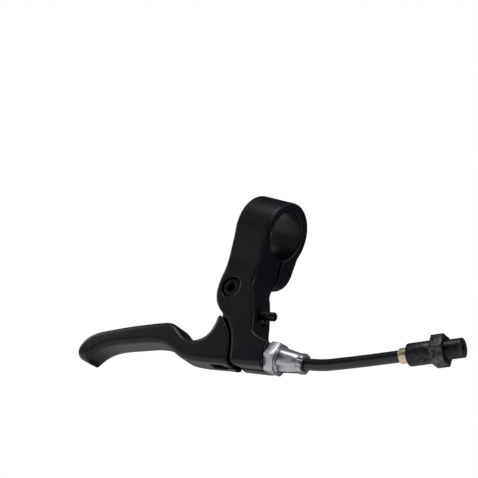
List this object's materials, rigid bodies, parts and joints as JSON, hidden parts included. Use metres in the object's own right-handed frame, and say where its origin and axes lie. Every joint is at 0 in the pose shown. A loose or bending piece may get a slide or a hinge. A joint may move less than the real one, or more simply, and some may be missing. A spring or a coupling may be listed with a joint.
{
  "type": "bicycle brake lever",
  "caption": "Two-finger bicycle brake lever with split handlebar clamp, pivoting blade, reach screw, barrel adjuster with lock nut, and a brake cable",
  "frame": {"origin": "centre of the handlebar clamp's bore, midway along its width", "axes": "+X along the handlebar towards the middle of the bicycle, -Y the lever's front face, +Z from the lever up to the handlebar"},
  "size_m": [0.184, 0.036, 0.1012],
  "materials": {
    "satin_black_alloy": "satin",
    "black_steel": "satin",
    "machined_aluminium": "satin",
    "zinc_steel": "satin",
    "brass": "satin",
    "bronze_sleeve": "satin",
    "black_housing": "gloss",
    "white_liner": "matte",
    "washer_plastic": "matte",
    "black_anodised_aluminium": "satin"
  },
  "bodies": {
    "bracket": {"lever_body": "satin_black_alloy", "clamp_bolt": "black_steel", "clamp_washer": "black_steel", "pivot_bolt": "black_steel", "pivot_nut": "zinc_steel"},
    "blade": {"lever_blade": "satin_black_alloy", "pivot_sleeve": "bronze_sleeve", "front_pivot_washer": "washer_plastic", "rear_pivot_washer": "washer_plastic"},
    "inner_cable": {"cable_nipple": "zinc_steel", "inner_wire": "zinc_steel"},
    "reach_adjuster": {"reach_screw": "black_steel"},
    "housing": {"housing_end_cap": "brass", "housing_jacket": "black_housing", "housing_coil": "zinc_steel", "housing_liner": "white_liner", "cable_end_ferrule": "brass", "cable_end_barrel": "black_anodised_aluminium", "cable_end_nut": "black_anodised_aluminium"},
    "adjuster": {"barrel_adjuster": "machined_aluminium"},
    "locking_nut": {"lock_nut": "machined_aluminium"}
  },
  "joints": [
    {"name": "lever_pivot", "type": "hinge", "parent": "bracket", "child": "blade", "pos_m": [-0.0012, 0, -0.0316], "axis": [0, 1, 0], "range_deg": [0, 30], "stiffness_Nm_per_rad": 0.1, "springref_deg": -40.11, "deforming": ["inner_wire"]},
    {"name": "nipple_pivot", "type": "hinge", "parent": "blade", "child": "inner_cable", "pos_m": [0.0062, 0, -0.0573], "axis": [0, 1, 0], "range_deg": [-30, 0]},
    {"name": "reach_travel", "type": "slide", "parent": "bracket", "child": "reach_adjuster", "axis": [0.9829, 0, 0.184], "range_m": [0, 0.003]},
    {"name": "adjuster_travel", "type": "slide", "parent": "bracket", "child": "housing", "axis": [0.9925, 0, 0.1219], "range_m": [0, 0.006]},
    {"name": "adjuster_spin", "type": "hinge", "parent": "housing", "child": "adjuster", "pos_m": [0.03973, 0, -0.05318], "axis": [0.9925, 0, 0.1219], "range_deg": [0, 2160]},
    {"name": "lock_nut_spin", "type": "hinge", "parent": "bracket", "child": "locking_nut", "pos_m": [0.03278, 0, -0.05403], "axis": [0.9925, 0, 0.1219], "range_deg": [0, 360]}
  ],
  "couplings": [
    {"joint": "nipple_pivot", "follows": "lever_pivot", "ratio": -1},
    {"joint": "adjuster_spin", "follows": "adjuster_travel", "rad_per_m": 6283.2}
  ]
}
